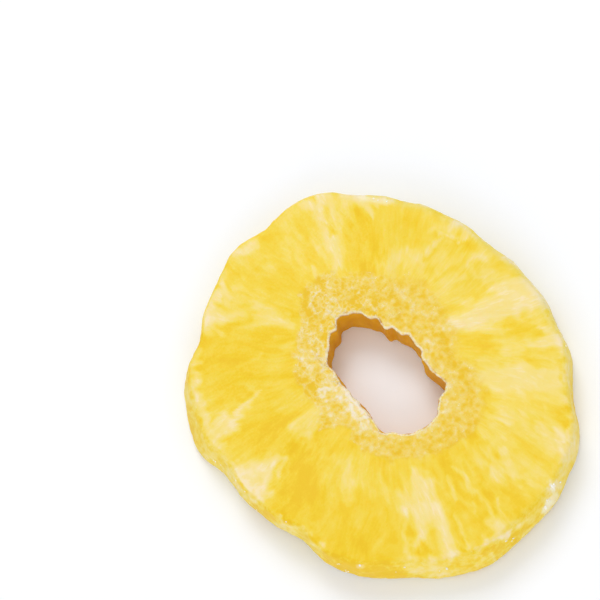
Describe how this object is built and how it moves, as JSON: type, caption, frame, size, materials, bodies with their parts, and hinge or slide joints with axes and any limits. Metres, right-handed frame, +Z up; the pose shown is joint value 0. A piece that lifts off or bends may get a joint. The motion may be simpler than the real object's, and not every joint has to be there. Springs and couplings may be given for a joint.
{
  "type": "dried pineapple ring",
  "caption": "Thick oval slice of sweetened dried pineapple, lying flat, with a ragged oval hole where the core was and a crumbly sugary band round it.",
  "frame": {"origin": "middle of the slice's bounding box, on the table it lies on", "axes": "+Z up from the table through the hole, +Y along the slice's longer side, which is also the way the hole is longest"},
  "size_m": [0.0718, 0.0828, 0.0096],
  "materials": {
    "pineapple_flesh": "satin, slightly translucent yellow fruit flesh with pale streaks and a dry crumbly band round the hole",
    "sugar_crystals": "small glittering grains of white sugar that stick to the flesh"
  },
  "bodies": {
    "root": {"pineapple_ring": "pineapple_flesh"}
  },
  "joints": []
}
